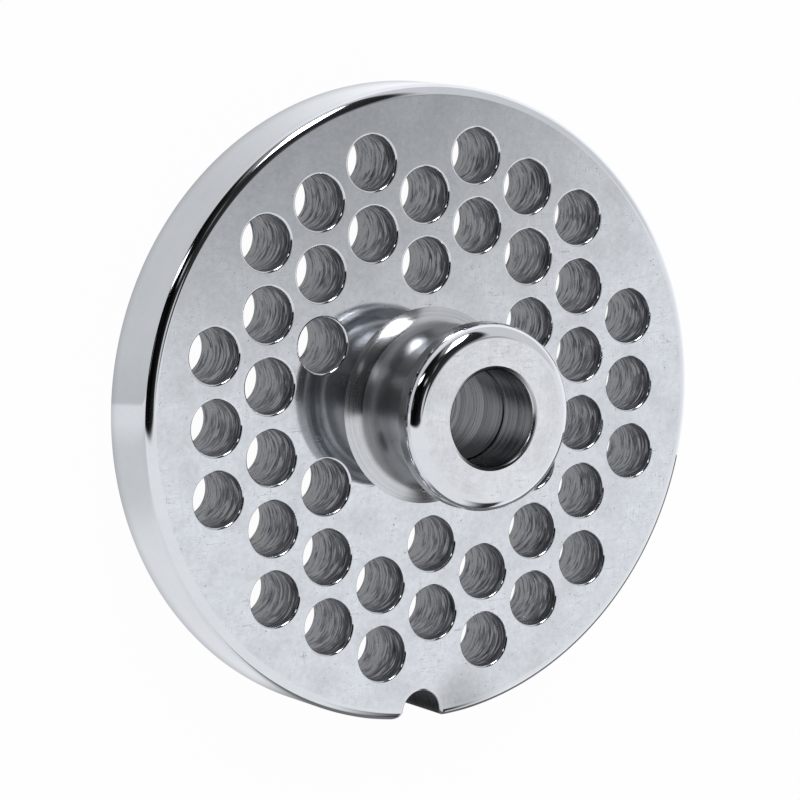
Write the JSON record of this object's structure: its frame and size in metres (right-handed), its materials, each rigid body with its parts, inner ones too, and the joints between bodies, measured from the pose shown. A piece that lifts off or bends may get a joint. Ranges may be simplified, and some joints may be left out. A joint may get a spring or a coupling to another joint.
{
  "type": "meat grinder plate",
  "caption": "Round perforated grinder plate of polished stainless steel with a spool-shaped central hub, a through bore and a keyway in the rim.",
  "frame": {"origin": "where the axis of the bore meets the flat back, which the plate rests on", "axes": "+Z along the bore towards the hub's end, -Y towards the keyway (which stands 2.7 degrees off it), +X across the plate with the grinding holes in columns along Y"},
  "size_m": [0.07, 0.0699, 0.021],
  "materials": {
    "stainless_steel": "polished"
  },
  "bodies": {
    "root": {"grinder_plate": "stainless_steel"}
  },
  "joints": []
}
